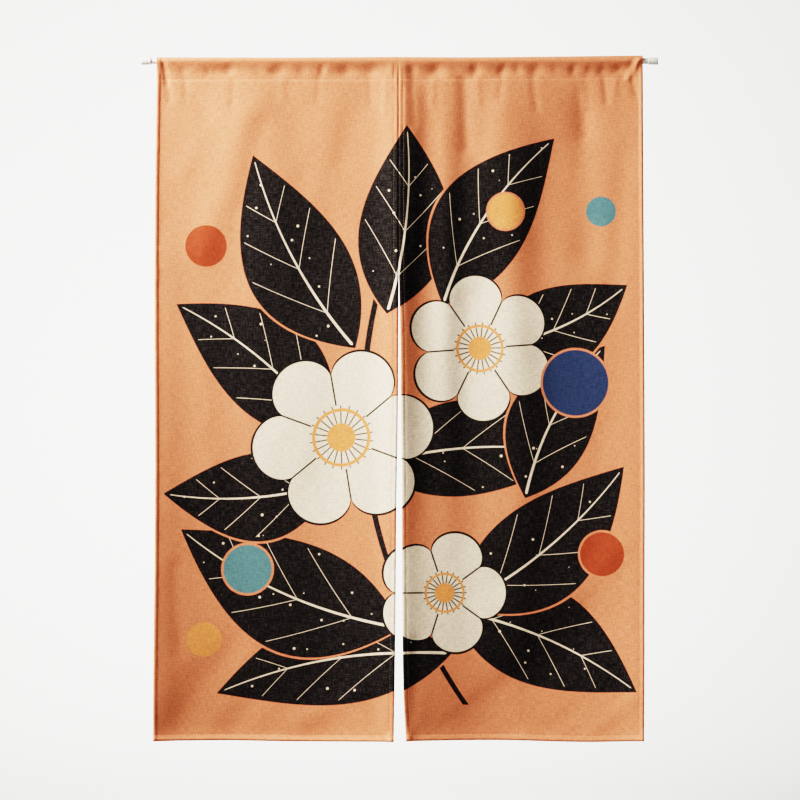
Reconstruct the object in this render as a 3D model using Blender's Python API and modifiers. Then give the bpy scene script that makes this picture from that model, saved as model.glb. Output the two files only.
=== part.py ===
"""Noren curtain on its rod: two hemmed cloth panels, sewn edge to edge at the top, with a slit below.

Each panel is one rectangle of cloth. Its top is folded back over the rod and sewn down, which makes
the casing, and the rest hangs from that stitching in soft upright folds.
The origin is on the rod's axis, midway along it. +X is to the right, +Z is up, the front faces -Y.
"""

import math
from collections import namedtuple

import bmesh
import bpy

MM = 0.001

# The rod: a slim white tension rod with a soft cap over each end, in millimetres
ROD_LENGTH = 900
ROD_RADIUS = 5
ROD_FACETS = 24
CAP_LENGTH = 17
CAP_RADIUS = 6.5
CAP_SOCKET_DEPTH = 12
CAP_ROUNDING = 1.5
CAP_ROUNDING_STEPS = 4
CAP_FACETS = 28
CLEARANCE = 0.3
WELD = 0.01

# The cloth, in millimetres
CLOTH_THICKNESS = 1.2
CASING_SLACK = 0.45
SEAM_ACROSS = -1.7
SEAM_GAP = 0.5
SEAM_END_BELOW = 350
HEM_BELOW = 1183

# How finely each panel is divided
COLUMNS = 24
HANGING_ROWS = 26
CASING_SIDE_ROWS = 3
CASING_TOP_ROWS = 12
EDGE_CROWDING = 0.5

# Each table below is in millimetres: across is the distance right of the rod's middle, below the
# distance under the rod's axis, and forward the distance towards the viewer.

# Where the two outer edges of the curtain stand, going down
Side = namedtuple("Side", "below left right")
SIDES = [
    Side(-7, -422.0, 423.0),
    Side(60, -423.0, 423.2),
    Side(220, -425.3, 423.8),
    Side(440, -426.0, 424.9),
    Side(700, -424.7, 426.0),
    Side(900, -425.5, 425.6),
    Side(1060, -427.2, 425.2),
    Side(HEM_BELOW, -427.7, 424.4),
]

# The slit under the sewn seam: where the inner edge of each panel stands, going down
Slit = namedtuple("Slit", "below left right")
SLIT = [
    Slit(SEAM_END_BELOW, SEAM_ACROSS - SEAM_GAP / 2, SEAM_ACROSS + SEAM_GAP / 2),
    Slit(494, -2.2, 1.5),
    Slit(625, -3.0, 2.3),
    Slit(764, -5.4, 3.8),
    Slit(938, -6.8, 4.6),
    Slit(1094, -8.7, 6.6),
    Slit(1147, -9.6, 9.2),
    Slit(HEM_BELOW, -10.2, 11.1),
]

# How far down the bottom edge hangs, going across
Hem = namedtuple("Hem", "across below")
HEM = [
    Hem(-428, 1181.8),
    Hem(-310, 1181.4),
    Hem(-170, 1183.6),
    Hem(-12, 1183.0),
    Hem(12, 1182.4),
    Hem(170, 1181.8),
    Hem(320, 1184.6),
    Hem(425, 1182.0),
]

# The casing: how far its top stands off the rod, and how far under the rod it is sewn, going across
Casing = namedtuple("Casing", "across lift sewn_below")
CASING = [
    Casing(-423, 0.4, 32.9),
    Casing(-200, 0.0, 33.0),
    Casing(0, 0.9, 32.9),
    Casing(110, 0.3, 32.6),
    Casing(270, 1.6, 31.6),
    Casing(424, 3.4, 30.2),
]

# Wide dents in the casing's front layer, between the rod and the stitching
Dent = namedtuple("Dent", "across spread inset")
DENTS = [
    Dent(-312, 22, 2.4),
    Dent(-80, 26, 1.8),
    Dent(62, 20, 2.2),
    Dent(190, 26, 2.2),
    Dent(365, 26, 3.0),
]

# The upright folds: each stands forward by these amounts at the levels below, and fades to its sides
FOLD_LEVELS = (32, 300, 750, HEM_BELOW)
Fold = namedtuple("Fold", "across spread at_casing at_chest at_waist at_hem")
FOLDS = [
    Fold(-427, 110, 0.0, 3.0, 11.0, 18.0),
    Fold(-427, 40, 1.0, 2.5, 5.0, 6.0),
    Fold(-225, 62, 1.5, 4.0, 2.5, 1.0),
    Fold(SEAM_ACROSS, 90, 1.0, 6.5, 9.0, 14.0),
    Fold(SEAM_ACROSS, 28, 4.5, 8.0, 6.0, 5.0),
    Fold(82, 24, 1.4, 4.2, 1.0, 0.0),
    Fold(198, 44, 2.0, 7.5, 3.0, 0.5),
    Fold(425, 90, 1.5, 7.0, 8.0, 10.0),
    Fold(425, 32, 1.5, 2.5, 4.0, 7.0),
]

# The slanting folds: soft ridges that run from one place on the cloth to another
SLANT_FADE = 60
Slant = namedtuple("Slant", "from_across from_below to_across to_below spread forward")
SLANTS = [
    Slant(-262, 70, -340, 320, 34, 3.0),
    Slant(162, 1165, 322, 990, 60, -4.5),
    Slant(316, 60, 322, 330, 30, -2.8),
    Slant(-395, 1165, -300, 1040, 36, -3.5),
]


def smooth_through(places, values, at):
    """The value at a place along the smooth curve through a short row of values."""
    last = len(places) - 1
    at = min(max(at, places[0]), places[last])
    left = max(i for i in range(last) if at >= places[i])
    span = places[left + 1] - places[left]

    def slope(i):
        before, after = max(i - 1, 0), min(i + 1, last)
        return (values[after] - values[before]) / (places[after] - places[before])

    t = (at - places[left]) / span
    start = values[left] * (1 + 2 * t) * (1 - t) ** 2
    end = values[left + 1] * (3 - 2 * t) * t**2
    rise = slope(left) * span * t * (1 - t) ** 2
    fall = slope(left + 1) * span * t**2 * (1 - t)
    return start + end + rise - fall


def read(table, along, column, at):
    """One column of a table, read smoothly at a place along another of its columns."""
    places = [getattr(row, along) for row in table]
    values = [getattr(row, column) for row in table]
    return smooth_through(places, values, at)


def bump(distance, spread):
    """1 at a fold's crest, fading to nothing at about two spreads from it."""
    return math.exp(-((distance / spread) ** 2))


def slant_forward(slant, across, below):
    """How far one slanting fold brings the cloth forward at a place."""
    run = (slant.to_across - slant.from_across, slant.to_below - slant.from_below)
    length = math.hypot(*run)
    reach = (across - slant.from_across, below - slant.from_below)
    along = (reach[0] * run[0] + reach[1] * run[1]) / length
    aside = (reach[0] * run[1] - reach[1] * run[0]) / length
    past_the_end = max(-along, along - length, 0)
    return slant.forward * bump(aside, slant.spread) * bump(past_the_end, slant.spread)


def forward(across, below):
    """How far the hanging cloth stands forward of the plane under the rod's axis."""
    upright = sum(
        smooth_through(FOLD_LEVELS, fold[2:], below) * bump(across - fold.across, fold.spread)
        for fold in FOLDS
    )
    fade_in = min(max((below - FOLD_LEVELS[0]) / SLANT_FADE, 0), 1)
    slanting = sum(slant_forward(slant, across, below) for slant in SLANTS)
    return upright + fade_in * slanting


def panel_edges(side, below):
    """The inner and outer edges of the left or right panel at one level."""
    inner_level = max(below, SEAM_END_BELOW)
    return read(SLIT, "below", side, inner_level), read(SIDES, "below", side, below)


def hanging_point(side, share, fall):
    """A point of the hanging cloth: share runs from the inner edge to the outer, fall from 0 to 1."""
    inner, outer = panel_edges(side, HEM_BELOW * fall)
    across = inner + (outer - inner) * share
    top = read(CASING, "across", "sewn_below", across)
    below = top + (read(HEM, "across", "below", across) - top) * fall
    inner, outer = panel_edges(side, below)
    across = inner + (outer - inner) * share
    return across, -forward(across, below), -below


def casing_loop(side, share):
    """The casing's section at one column, from the stitching up the front, over the rod and down."""
    across, sewn_y, sewn_z = hanging_point(side, share, 0)
    radius = ROD_RADIUS + CASING_SLACK + CLOTH_THICKNESS / 2
    heading = math.atan2(sewn_z, sewn_y)
    opening = math.acos(radius / math.hypot(sewn_y, sewn_z))
    front, back = heading - opening, heading + opening - math.tau
    lift = read(CASING, "across", "lift", across)
    inset = sum(dent.inset * bump(across - dent.across, dent.spread) for dent in DENTS)

    arc = []
    for i in range(CASING_TOP_ROWS + 1):
        angle = front + (back - front) * i / CASING_TOP_ROWS
        rise = lift * max(math.sin(angle), 0) ** 2
        arc.append((radius * math.cos(angle), radius * math.sin(angle) + rise))

    def side_run(start, end, pressed):
        for i in range(1, CASING_SIDE_ROWS):
            t = i / CASING_SIDE_ROWS
            y = start[0] + (end[0] - start[0]) * t + pressed * math.sin(math.pi * t)
            yield y, start[1] + (end[1] - start[1]) * t

    sewn = (sewn_y, sewn_z)
    loop = [*side_run(sewn, arc[0], inset), *arc, *side_run(arc[-1], sewn, 0), sewn]
    return [(across, y, z) for y, z in loop]


def column_share(column):
    """How far a column is from the inner edge to the outer, with columns crowded at both edges."""
    even = column / COLUMNS
    crowded = 0.5 - 0.5 * math.cos(math.pi * even)
    return even + (crowded - even) * EDGE_CROWDING


def material(name, colour, roughness):
    """A plain finish in the photo's colour."""
    made = bpy.data.materials.new(name)
    made.use_nodes = True
    shader = made.node_tree.nodes["Principled BSDF"]
    shader.inputs["Base Color"].default_value = (*colour, 1)
    shader.inputs["Roughness"].default_value = roughness
    shader.inputs["Metallic"].default_value = 0
    return made


def add_object(name, data, collection, finish):
    """One sub-part in the curtain's collection, with its own material."""
    made = bpy.data.objects.new(name, data)
    data.materials.append(finish)
    collection.objects.link(made)
    return made


def add_panel(name, side, collection, finish):
    """One panel: a flat grid of cloth, hung in its folds, its end sewn down behind the rod."""
    last_row = HANGING_ROWS + CASING_TOP_ROWS + 2 * CASING_SIDE_ROWS
    cloth = bmesh.new()
    bmesh.ops.create_grid(cloth, x_segments=COLUMNS, y_segments=last_row, size=0.5)
    columns = []
    for column in range(COLUMNS + 1):
        share = column_share(column)
        hanging = [hanging_point(side, share, 1 - row / HANGING_ROWS) for row in range(HANGING_ROWS + 1)]
        columns.append(hanging + casing_loop(side, share))
    for corner in cloth.verts:
        column = round((corner.co.x + 0.5) * COLUMNS)
        row = round((corner.co.y + 0.5) * last_row)
        corner.co = [value * MM for value in columns[column][row]]
    bmesh.ops.remove_doubles(cloth, verts=cloth.verts, dist=WELD * MM)
    bmesh.ops.recalc_face_normals(cloth, faces=cloth.faces)
    mesh = bpy.data.meshes.new(name)
    cloth.to_mesh(mesh)
    cloth.free()
    mesh.shade_smooth()

    panel = add_object(name, mesh, collection, finish)
    body = panel.modifiers.new("cloth thickness", "SOLIDIFY")
    body.solidify_mode = "NON_MANIFOLD"
    body.nonmanifold_thickness_mode = "CONSTRAINTS"
    body.nonmanifold_boundary_mode = "FLAT"
    body.nonmanifold_merge_threshold = WELD * MM
    body.thickness = CLOTH_THICKNESS * MM
    body.offset = 0
    return panel


def add_rod(name, collection, finish):
    """The rod: a straight round bar whose ends stop inside the caps."""
    curve = bpy.data.curves.new(name, "CURVE")
    curve.dimensions = "3D"
    curve.bevel_depth = ROD_RADIUS * MM
    curve.bevel_resolution = ROD_FACETS // 2 - 2
    curve.use_fill_caps = True
    spline = curve.splines.new("POLY")
    spline.points.add(1)
    end = ROD_LENGTH / 2 - CAP_LENGTH + CAP_SOCKET_DEPTH - CLEARANCE
    spline.points[0].co = (-end * MM, 0, 0, 1)
    spline.points[1].co = (end * MM, 0, 0, 1)
    return add_object(name, curve, collection, finish)


def cap_profile():
    """Half the section of a cap standing on its open end, as radius and height pairs."""
    rounding_turns = [math.pi / 2 * i / CAP_ROUNDING_STEPS for i in range(CAP_ROUNDING_STEPS + 1)]
    inset = CAP_RADIUS - CAP_ROUNDING, CAP_LENGTH - CAP_ROUNDING
    rounded = [
        (inset[0] + CAP_ROUNDING * math.sin(turn), inset[1] + CAP_ROUNDING * math.cos(turn))
        for turn in rounding_turns
    ]
    socket = ROD_RADIUS + CLEARANCE
    hollow = [(socket, 0), (socket, CAP_SOCKET_DEPTH), (0, CAP_SOCKET_DEPTH)]
    return [(0, CAP_LENGTH), *rounded, (CAP_RADIUS, 0), *hollow]


def add_cap(name, facing, collection, finish):
    """A soft cap over one end of the rod: facing is -1 at the left end and 1 at the right."""
    outline = cap_profile()
    mesh = bpy.data.meshes.new(name)
    points = [(radius * MM, 0, height * MM) for radius, height in outline]
    mesh.from_pydata(points, [(i, i + 1) for i in range(len(points) - 1)], [])
    cap = add_object(name, mesh, collection, finish)
    turned = cap.modifiers.new("turned round", "SCREW")
    turned.axis = "Z"
    turned.steps = CAP_FACETS
    turned.render_steps = CAP_FACETS
    turned.use_merge_vertices = True
    turned.merge_threshold = WELD * MM
    turned.use_smooth_shade = True
    cap.location.x = facing * (ROD_LENGTH / 2 - CAP_LENGTH) * MM
    cap.rotation_euler.y = facing * math.pi / 2
    return cap


# Each finish in the photo's colour, as linear red, green and blue, with its roughness
ORANGE_LEFT = ((0.80, 0.42, 0.22), 0.9)
ORANGE_RIGHT = ((0.70, 0.28, 0.12), 0.9)
WHITE_PAINT = ((0.86, 0.86, 0.85), 0.35)
WHITE_RUBBER = ((0.82, 0.82, 0.80), 0.6)


def build():
    for existing in list(bpy.data.objects):
        bpy.data.objects.remove(existing, do_unlink=True)
    collection = bpy.data.collections.new("noren curtain and rod")
    bpy.context.scene.collection.children.link(collection)

    add_panel("left_panel", "left", collection, material("left cloth", *ORANGE_LEFT))
    add_panel("right_panel", "right", collection, material("right cloth", *ORANGE_RIGHT))
    add_rod("rod", collection, material("painted rod", *WHITE_PAINT))
    add_cap("left_cap", -1, collection, material("left cap rubber", *WHITE_RUBBER))
    add_cap("right_cap", 1, collection, material("right cap rubber", *WHITE_RUBBER))


build()
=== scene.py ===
import math
from collections import namedtuple

import bmesh
import bpy
import numpy as np
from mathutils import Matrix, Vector, noise


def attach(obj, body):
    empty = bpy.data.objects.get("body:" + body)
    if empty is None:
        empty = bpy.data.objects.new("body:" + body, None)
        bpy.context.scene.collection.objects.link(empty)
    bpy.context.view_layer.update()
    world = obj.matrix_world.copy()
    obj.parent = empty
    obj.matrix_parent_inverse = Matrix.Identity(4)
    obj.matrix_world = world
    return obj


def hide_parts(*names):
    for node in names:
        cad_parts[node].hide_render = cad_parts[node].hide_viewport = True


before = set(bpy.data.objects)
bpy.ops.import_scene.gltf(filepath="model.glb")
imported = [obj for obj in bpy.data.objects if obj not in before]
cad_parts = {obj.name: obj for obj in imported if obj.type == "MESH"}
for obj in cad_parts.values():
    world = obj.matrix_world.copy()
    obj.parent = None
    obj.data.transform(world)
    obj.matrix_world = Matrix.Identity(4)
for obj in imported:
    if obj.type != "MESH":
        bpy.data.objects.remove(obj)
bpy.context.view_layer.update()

# The curtain's own millimetres: across is the distance right of the rod's middle, below the distance
# under the rod's axis, and forward the distance towards the viewer.
MM = 0.001

# The rod and its caps
ROD_LENGTH = 900
ROD_RADIUS = 5
CAP_LENGTH = 17
CAP_RADIUS = 6.5
CAP_SOCKET_DEPTH = 12
CAP_CLEARANCE = 0.3
CAP_ROUNDING = 1.6
CAP_LIP = 0.4
CAP_GROOVE = (5.2, 4.7, 3.9, 3.4)
CAP_GROOVE_DEPTH = 0.45
ROD_END_ROLL = 0.6

# The cloth: the solids' middle surface, and how far in front of it the printed face lies
SOLID_THICKNESS = 1.2
CASING_SLACK = 0.45
FACE_FORWARD = 0.3
CLOTH_THICKNESS = 0.5
HEM_THICKNESS = 1.5
TURNED_END_THICKNESS = 0.9
SIDE_HEM = 9.0
BOTTOM_HEM = 11.0
TURNED_END = 10.0
TURNED_END_STEPS = (1.2, 2.6)
LAYER_GAP = 0.12
SEAM_ACROSS = -1.7
SEAM_GAP = 0.004
SEAM_END_BELOW = 350
HEM_BELOW = 1183

# How far stitching draws the cloth in, and how far hems, edges and corners leave its plane
HEM_GROOVE = 0.35
SIDE_GROOVE_IN = 8.0
BOTTOM_GROOVE_UP = 10.6
CASING_GROOVE = 0.7
INNER_HEM_STAND = 0.3
INNER_EDGE_TURN = 0.95
OUTER_HEM_STAND = 2.4
OUTER_EDGE_TURN = 1.4
BOTTOM_HEM_STAND = 1.7
BOTTOM_HEM_TIP = 2.4
BOTTOM_EDGE_ROLL = 2.6
INNER_CORNER_CURL = 2.2
OUTER_CORNER_CURL = 1.6
CORNER_SPREAD = 9
CASING_HOLLOW = 1.5
CASING_UNEVENNESS = 0.6
CASING_BACK_HEIGHT = 26
ROD_GAP = 0.2

# Where the two outer edges of the curtain stand, going down
Side = namedtuple("Side", "below left right")
SIDES = [
    Side(-7, -422.0, 423.0),
    Side(60, -423.0, 423.2),
    Side(220, -425.3, 423.8),
    Side(440, -426.0, 424.9),
    Side(700, -424.7, 426.0),
    Side(900, -425.5, 425.6),
    Side(1060, -427.2, 425.2),
    Side(HEM_BELOW, -427.7, 424.4),
]

# The slit under the sewn seam: where the inner edge of each panel stands, going down
Slit = namedtuple("Slit", "below left right")
SLIT = [
    Slit(SEAM_END_BELOW, SEAM_ACROSS - SEAM_GAP / 2, SEAM_ACROSS + SEAM_GAP / 2),
    Slit(494, -2.2, 1.5),
    Slit(625, -3.0, 2.3),
    Slit(764, -5.4, 3.8),
    Slit(938, -6.8, 4.6),
    Slit(1094, -8.7, 6.6),
    Slit(1147, -9.6, 9.2),
    Slit(HEM_BELOW, -10.2, 11.1),
]

# How far down the bottom edge hangs, going across, and how strongly its turned hem tips forward
Hem = namedtuple("Hem", "across below tip")
HEM = [
    Hem(-428, 1181.8, 0.9),
    Hem(-310, 1181.4, 1.5),
    Hem(-170, 1183.6, 2.1),
    Hem(-12, 1183.0, 2.0),
    Hem(12, 1182.4, 1.0),
    Hem(170, 1181.8, 0.9),
    Hem(320, 1184.6, 1.0),
    Hem(425, 1182.0, 1.1),
]

# The casing: how far its top stands off the rod, and how far under the rod it is sewn, going across
Casing = namedtuple("Casing", "across lift sewn_below")
CASING = [
    Casing(-423, 0.4, 32.9),
    Casing(-200, 0.0, 33.0),
    Casing(0, 0.9, 32.9),
    Casing(110, 0.3, 32.6),
    Casing(270, 1.6, 31.6),
    Casing(424, 3.4, 30.2),
]

# Dents in the casing's front layer between the rod and the stitching: wide ones, then tight puckers.
# lean is how far a dent moves to the right from the stitching up to the rod.
Dent = namedtuple("Dent", "across spread inset lean")
DENTS = [
    Dent(-312, 22, 1.6, 4),
    Dent(-80, 26, 1.2, 0),
    Dent(62, 20, 1.4, -4),
    Dent(190, 26, 1.4, 4),
    Dent(365, 26, 1.8, 6),
    Dent(-377, 9, 0.9, 3),
    Dent(-334, 5, 0.7, -3),
    Dent(-297, 9, 1.7, 5),
    Dent(-246, 8, 0.5, -4),
    Dent(-212, 13, 1.9, 3),
    Dent(-170, 7, 0.7, -3),
    Dent(-135, 5, 1.7, 2),
    Dent(-93, 11, 2.0, -4),
    Dent(-48, 13, 2.0, 5),
    Dent(-15, 5, -1.2, 3),
    Dent(22, 8, 2.0, -5),
    Dent(63, 12, 2.0, 3),
    Dent(97, 7, 0.6, -4),
    Dent(131, 8, 2.3, 2),
    Dent(178, 7, 1.9, 9),
    Dent(205, 5, 0.9, -3),
    Dent(236, 11, 2.5, 4),
    Dent(270, 6, 0.6, -4),
    Dent(302, 7, 2.0, 4),
    Dent(330, 6, 0.9, 5),
    Dent(352, 5, 0.9, 7),
    Dent(383, 10, 2.6, 8),
    Dent(404, 4, 1.2, 9),
]

# The upright folds: each stands forward by these amounts at the levels below, and fades to its sides
FOLD_LEVELS = (32, 300, 750, HEM_BELOW)
Fold = namedtuple("Fold", "across spread at_casing at_chest at_waist at_hem")
FOLDS = [
    Fold(-427, 110, 0.0, 3.0, 11.0, 18.0),
    Fold(-427, 40, 1.0, 2.5, 5.0, 6.0),
    Fold(-225, 62, 1.5, 4.0, 2.5, 1.0),
    Fold(SEAM_ACROSS, 90, 1.0, 6.5, 9.0, 14.0),
    Fold(SEAM_ACROSS, 28, 4.5, 8.0, 6.0, 5.0),
    Fold(82, 24, 1.4, 4.2, 1.0, 0.0),
    Fold(198, 44, 2.0, 7.5, 3.0, 0.5),
    Fold(425, 90, 1.5, 7.0, 8.0, 10.0),
    Fold(425, 32, 1.5, 2.5, 4.0, 7.0),
]

# The slanting folds: soft ridges that run from one place on the cloth to another
SLANT_FADE = 60
Slant = namedtuple("Slant", "from_across from_below to_across to_below spread forward")
SLANTS = [
    Slant(-262, 70, -340, 320, 34, 3.0),
    Slant(162, 1165, 322, 990, 60, -4.5),
    Slant(316, 60, 322, 330, 30, -2.8),
    Slant(-395, 1165, -300, 1040, 36, -3.5),
]

# The small creases: troughs and ridges a few millimetres to a few centimetres wide
Crease = namedtuple("Crease", "from_across from_below to_across to_below spread forward")
CREASES = [
    # The low ridge just right of the seam, beyond its stitching, and the broad one that follows it
    Crease(10, 50, 9.5, 340, 3.6, 0.4),
    Crease(27, 60, 26, 330, 14, 1.3),
    # Gathers at the two corners beside the slit's foot
    Crease(16, 1172, 19, 1182, 2.2, 0.7),
    Crease(22, 1168, 24, 1180, 2.6, -0.6),
    Crease(31, 1166, 35, 1180, 4.0, -0.7),
    Crease(-17, 1171, -15, 1181, 2.4, 1.1),
    Crease(-24, 1169, -26, 1180, 2.8, -0.9),
    # The dent near the upper left corner, and the streaks round it
    Crease(-352, 70, -335, 96, 20, -1.1),
    Crease(-300, 60, -372, 190, 19, 0.7),
    Crease(-318, 210, -352, 300, 24, -0.6),
    Crease(-240, 110, -272, 250, 18, -0.8),
    Crease(-200, 60, -170, 200, 24, -0.6),
    Crease(-120, 90, -150, 260, 26, 0.6),
    Crease(-60, 60, -100, 180, 24, -0.8),
    # The pinch beside the left end of the casing, and the fold at its right end
    Crease(-413, -9, -406, 40, 3.0, -1.6),
    Crease(-406, 34, -400, 70, 4.5, -0.9),
    Crease(398, 30, 419, -6, 4.0, 1.8),
    Crease(388, 28, 407, -4, 3.5, -1.3),
    # Small gathers hanging from the stitching
    Crease(-374, 33, -371, 62, 5, -0.7),
    Crease(-288, 34, -292, 78, 6, -0.6),
    Crease(-205, 33, -203, 66, 6, 0.5),
    Crease(-140, 34, -143, 70, 5, -0.5),
    Crease(-52, 33, -50, 76, 5, -0.6),
    Crease(-24, 33, -27, 90, 5, 0.7),
    Crease(22, 33, 25, 110, 6, -0.9),
    Crease(58, 33, 57, 80, 5, 0.6),
    Crease(112, 34, 116, 150, 11, -1.6),
    Crease(136, 33, 138, 74, 5, 0.6),
    Crease(178, 33, 174, 66, 5, -0.6),
    Crease(232, 33, 238, 84, 6, -0.8),
    Crease(318, 34, 322, 130, 13, -1.4),
    Crease(316, 33, 322, 80, 6, 0.7),
    Crease(356, 32, 360, 72, 5, -1.2),
    Crease(376, 32, 374, 58, 4, 0.7),
    Crease(404, 31, 412, 60, 5, -1.3),
    # Streaks in the right panel's upper half, leaning to the lower left
    Crease(176, 90, 120, 380, 24, 1.5),
    Crease(268, 150, 200, 420, 30, -1.2),
    Crease(330, 220, 262, 470, 30, 1.2),
    Crease(395, 160, 372, 420, 20, -1.0),
    # Soft creases down the middle of both panels, where the cloth was once folded
    Crease(-215, 330, -222, 620, 26, -0.8),
    Crease(-130, 430, -170, 700, 30, 0.8),
    Crease(-345, 480, -330, 760, 28, 0.8),
    Crease(110, 520, 132, 800, 28, -0.9),
    Crease(236, 560, 214, 860, 32, 0.9),
    Crease(352, 640, 340, 900, 26, -0.9),
    # The lower left corner, where the panel curls forward
    Crease(-392, 880, -384, 1030, 15, -0.8),
    Crease(-345, 1100, -300, 1040, 34, 1.3),
    Crease(-340, 1110, -250, 1010, 18, 0.4),
    Crease(-300, 1160, -190, 1070, 20, -0.6),
    Crease(-170, 1150, -60, 1090, 20, 1.4),
    Crease(-80, 1020, -40, 1140, 14, -0.8),
    # The lower right panel: streaks beside its long diagonal fold
    Crease(30, 1010, 20, 1140, 12, -1.3),
    Crease(70, 1165, 235, 1045, 18, -0.8),
    Crease(150, 1172, 330, 1040, 20, 0.7),
    Crease(250, 1168, 380, 1080, 17, -0.7),
    Crease(330, 1172, 412, 1105, 14, 0.9),
    Crease(300, 930, 390, 840, 22, 1.2),
    Crease(180, 905, 300, 800, 24, -1.0),
]

# How finely each panel is divided: close steps along its edges, even ones between
EDGE_STEPS = (0, 0.6, 1.4, 2.6, 4.4, 6.4, 7.6, 8.4, 9.2, 10.6, 13.0)
BOTTOM_STEPS = (0, 0.6, 1.4, 2.6, 4.4, 6.6, 8.4, 9.8, 10.6, 11.4, 12.8, 15.0, 18.0)
STITCHING_STEPS = (0, 1.0, 2.2, 4.0, 6.5, 9.5, 13.0)
MIDDLE_COLUMNS = 96
MIDDLE_ROWS = 282
CASING_FRONT_ROWS = 13
CASING_TOP_ROWS = 18
CASING_BACK_ROWS = 11
SIDE_STITCHING = EDGE_STEPS.index(8.4)
BOTTOM_STITCHING = BOTTOM_STEPS.index(10.6)


def smooth_through(places, values, at):
    """Values along the smooth curve through a short row of them."""
    places = np.array(places, float)
    values = np.array(values, float)
    each = np.arange(len(places))
    before = np.maximum(each - 1, 0)
    after = np.minimum(each + 1, len(places) - 1)
    slopes = (values[after] - values[before]) / (places[after] - places[before])
    at = np.clip(at, places[0], places[-1])
    left = np.clip(np.searchsorted(places, at, side="right") - 1, 0, len(places) - 2)
    span = places[left + 1] - places[left]
    t = (at - places[left]) / span
    start = values[left] * (1 + 2 * t) * (1 - t) ** 2
    end = values[left + 1] * (3 - 2 * t) * t**2
    bend = span * t * (1 - t) * (slopes[left] * (1 - t) - slopes[left + 1] * t)
    return start + end + bend


def read(table, along, column, at):
    """One column of a table, read smoothly at places along another of its columns."""
    places = [getattr(row, along) for row in table]
    values = [getattr(row, column) for row in table]
    return smooth_through(places, values, at)


def bump(distance, spread):
    """1 at a fold's crest, fading to nothing at about two spreads from it."""
    return np.exp(-((distance / spread) ** 2))


def ridge(line, across, below):
    """How far one slanting fold or crease brings the cloth forward."""
    run = (line.to_across - line.from_across, line.to_below - line.from_below)
    length = math.hypot(*run)
    reach = (across - line.from_across, below - line.from_below)
    along = (reach[0] * run[0] + reach[1] * run[1]) / length
    aside = (reach[0] * run[1] - reach[1] * run[0]) / length
    past_the_end = np.maximum(np.maximum(-along, along - length), 0)
    return line.forward * bump(aside, line.spread) * bump(past_the_end, line.spread)


def folds_forward(across, below):
    """How far the main folds bring the hanging cloth forward, as in the solids."""
    upright = sum(
        smooth_through(FOLD_LEVELS, fold[2:], below) * bump(across - fold.across, fold.spread)
        for fold in FOLDS
    )
    fade_in = np.clip((below - FOLD_LEVELS[0]) / SLANT_FADE, 0, 1)
    return upright + fade_in * sum(ridge(slant, across, below) for slant in SLANTS)


def rippled(across, below, wave, seed):
    """Smooth random height, -1 to 1, whose hills are about one wave apart."""
    flat = zip(across.ravel(), below.ravel())
    heights = [noise.noise(Vector((x / wave, z / wave, seed))) for x, z in flat]
    return np.array(heights).reshape(across.shape)


def panel_edges(side, below):
    """The inner and outer edges of the left or right panel at each level."""
    inner_level = np.maximum(below, SEAM_END_BELOW)
    return read(SLIT, "below", side, inner_level), read(SIDES, "below", side, below)


def steps_along(length, near, far, middle):
    """Distances along a length: the given steps from each end, and even ones between."""
    start = [near_step + 0 * length for near_step in near]
    even_run = length - near[-1] - far[-1]
    even = [near[-1] + even_run * i / (middle + 1) for i in range(1, middle + 1)]
    end = [length - far_step for far_step in reversed(far)]
    return np.array(start + even + end)


Sheet = namedtuple("Sheet", "points print_place thickness stitched_row")


def hanging_rows(side):
    """The hanging part of a panel, hem first: its places across and below, as rows of columns."""
    columns = 2 * len(EDGE_STEPS) + MIDDLE_COLUMNS
    guess = np.linspace(0, 1, columns)
    rows = len(BOTTOM_STEPS) + MIDDLE_ROWS + len(STITCHING_STEPS)
    level = np.linspace(HEM_BELOW, 33, rows)[:, None]
    inner, outer = panel_edges(side, level + 0 * guess)
    across = inner + (outer - inner) * guess
    for _ in range(3):
        top = read(CASING, "across", "sewn_below", across[-1])
        bottom = read(HEM, "across", "below", across[0])
        below = bottom - steps_along(bottom - top, BOTTOM_STEPS, STITCHING_STEPS, MIDDLE_ROWS)
        inner, outer = panel_edges(side, below)
        width = np.abs(outer - inner).mean(axis=1)
        from_inner = steps_along(width, EDGE_STEPS, EDGE_STEPS, MIDDLE_COLUMNS).T
        across = inner[:, :1] + np.sign(outer - inner) * from_inner
    return across, below, from_inner, width[:, None] - from_inner


def edge_relief(below, from_edge, stand, turn, seed):
    """A turned side hem: its stitching draws in, its fold line turns back, and it ropes between."""
    groove = -HEM_GROOVE * bump(from_edge - SIDE_GROOVE_IN, 1.4)
    curl = stand * bump(from_edge, 6.5) - turn * bump(from_edge, 1.4)
    within = np.clip(1.5 - np.abs(from_edge - 5) / 5, 0, 1)
    roping = 0.32 * rippled(from_edge * 1.5 + seed, below, 15, seed) * within
    return groove + curl + roping


def bottom_relief(across, above_hem):
    """The turned bottom hem: stiffer than the cloth, it stands forward and rolls under at its edge."""
    groove = -HEM_GROOVE * bump(above_hem - BOTTOM_GROOVE_UP, 1.1)
    stand = BOTTOM_HEM_STAND * np.clip(1 - above_hem / 26, 0, 1) ** 1.5
    tip = BOTTOM_HEM_TIP * read(HEM, "across", "tip", across) * bump(above_hem, 7.0)
    roll = -BOTTOM_EDGE_ROLL * bump(above_hem, 1.5)
    within = np.clip(1.5 - np.abs(above_hem - 5.5) / 6, 0, 1)
    roping = 0.4 * rippled(across, above_hem * 1.6, 17, 5.0) * within
    return groove + stand + tip + roll + roping


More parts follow.
